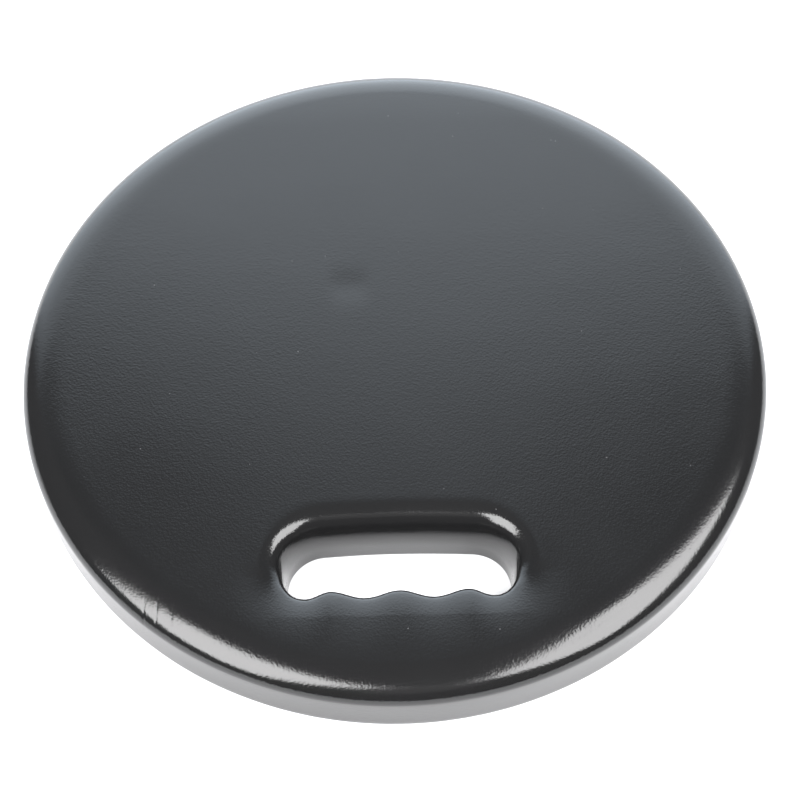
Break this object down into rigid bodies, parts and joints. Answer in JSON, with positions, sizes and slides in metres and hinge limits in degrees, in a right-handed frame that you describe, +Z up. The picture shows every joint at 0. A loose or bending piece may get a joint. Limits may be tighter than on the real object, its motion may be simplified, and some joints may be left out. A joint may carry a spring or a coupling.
{
  "type": "balance pad",
  "caption": "Round soft foam pad with a black moulded skin, a rolled rim and a hand slot with finger grooves near its edge.",
  "frame": {"origin": "centre of the round underside, on the floor", "axes": "+Z up out of the top; -Y towards the hand slot; X along the slot"},
  "size_m": [0.35, 0.35, 0.03],
  "materials": {
    "foam": "matt open-cell foam",
    "skin": "glossy black moulded skin with a fine leather grain",
    "base": "satin black moulded skin"
  },
  "bodies": {
    "root": {"foam_core": "foam", "top_skin": "skin", "base_skin": "base"}
  },
  "joints": []
}
